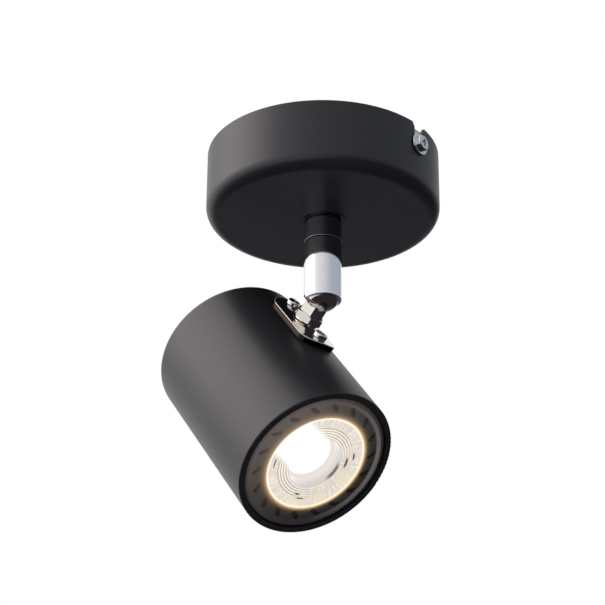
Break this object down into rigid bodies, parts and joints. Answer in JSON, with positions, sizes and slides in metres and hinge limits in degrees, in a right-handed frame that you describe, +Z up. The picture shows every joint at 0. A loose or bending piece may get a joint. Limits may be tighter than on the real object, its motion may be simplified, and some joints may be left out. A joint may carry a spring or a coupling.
{
  "type": "ceiling spotlight",
  "caption": "Ceiling spotlight with a round cup, a slotted ball swivel stem and a tubular head that holds a twist-lock reflector lamp.",
  "frame": {"origin": "centre of the ceiling slots, in the plane of the ceiling", "axes": "+Z up into the ceiling, +X through the side screw that the picture shows, the light hangs towards -Z"},
  "size_m": [0.1087, 0.08, 0.1287],
  "materials": {
    "cup_black": "satin black powder coat",
    "head_black": "satin black powder coat",
    "screw_nickel": "bright nickel plated screws",
    "joint_chrome": "bright chrome plate",
    "stem_chrome": "bright chrome plate",
    "zinc_steel": "zinc plated steel",
    "spring_steel": "drawn spring wire",
    "terminal_brass": "plain brass",
    "white_nylon": "moulded nylon",
    "holder_ceramic": "steatite ceramic, fired and bare",
    "lead_sleeve": "silicone insulated lead",
    "lamp_plastic": "dark grey moulded lamp plastic",
    "lamp_lens": "clear moulded lens",
    "emitter_yellow": "phosphor coat of the light source",
    "board_white": "white solder mask",
    "board_green": "green circuit board"
  },
  "bodies": {
    "ceiling_base": {"canopy": "cup_black", "canopy_side_screws": "screw_nickel", "mounting_bracket": "zinc_steel", "terminal_block": "white_nylon", "terminal_sleeves": "terminal_brass", "terminal_screws": "zinc_steel", "terminal_block_screw": "zinc_steel", "earth_washer": "zinc_steel", "earth_screw": "zinc_steel", "hollow_nipple": "zinc_steel", "nipple_lock_nut": "zinc_steel", "nipple_lock_washer": "zinc_steel", "cup_washer": "stem_chrome", "stem_collar": "stem_chrome", "friction_washer": "white_nylon", "retaining_ring": "zinc_steel", "supply_leads": "lead_sleeve"},
    "barrel": {"swivel_barrel": "stem_chrome", "stop_pin": "zinc_steel", "seat_spring": "spring_steel", "ball_seat": "white_nylon"},
    "stud": {"ball_stud": "joint_chrome"},
    "head": {"saddle_nut": "joint_chrome", "saddle_washer": "joint_chrome", "saddle_plate": "joint_chrome", "saddle_screws": "screw_nickel", "inner_nuts": "zinc_steel", "head_shell": "head_black", "holder_bracket": "zinc_steel", "holder_screws": "zinc_steel", "lamp_holder": "holder_ceramic", "head_leads": "lead_sleeve"},
    "lamp": {"lamp_ring": "lamp_plastic", "lamp_lens": "lamp_lens", "lamp_emitter": "emitter_yellow", "lamp_light_board": "board_white", "lamp_body": "lamp_plastic", "lamp_driver_board": "board_green", "lamp_base": "lamp_plastic", "lamp_pins": "terminal_brass"}
  },
  "joints": [
    {"name": "barrel_pan", "type": "hinge", "parent": "ceiling_base", "child": "barrel", "pos_m": [0, 0, -0.0345], "axis": [0, 0, 1], "range_deg": [-154.5, 175.4]},
    {"name": "head_tilt", "type": "hinge", "parent": "barrel", "child": "stud", "pos_m": [0, 0, -0.052], "axis": [0.1814, 0.9834, 0], "range_deg": [-65.5, 29.5]},
    {"name": "head_twist", "type": "hinge", "parent": "stud", "child": "head", "pos_m": [0, 0, -0.052], "axis": [0.7588, -0.14, 0.6361], "range_deg": [-90, 90]},
    {"name": "lamp_turn", "type": "hinge", "parent": "head", "child": "lamp", "pos_m": [-0.03032, 0.00559, -0.07742], "axis": [0.6255, -0.1154, -0.7716], "range_deg": [0, 25]}
  ]
}
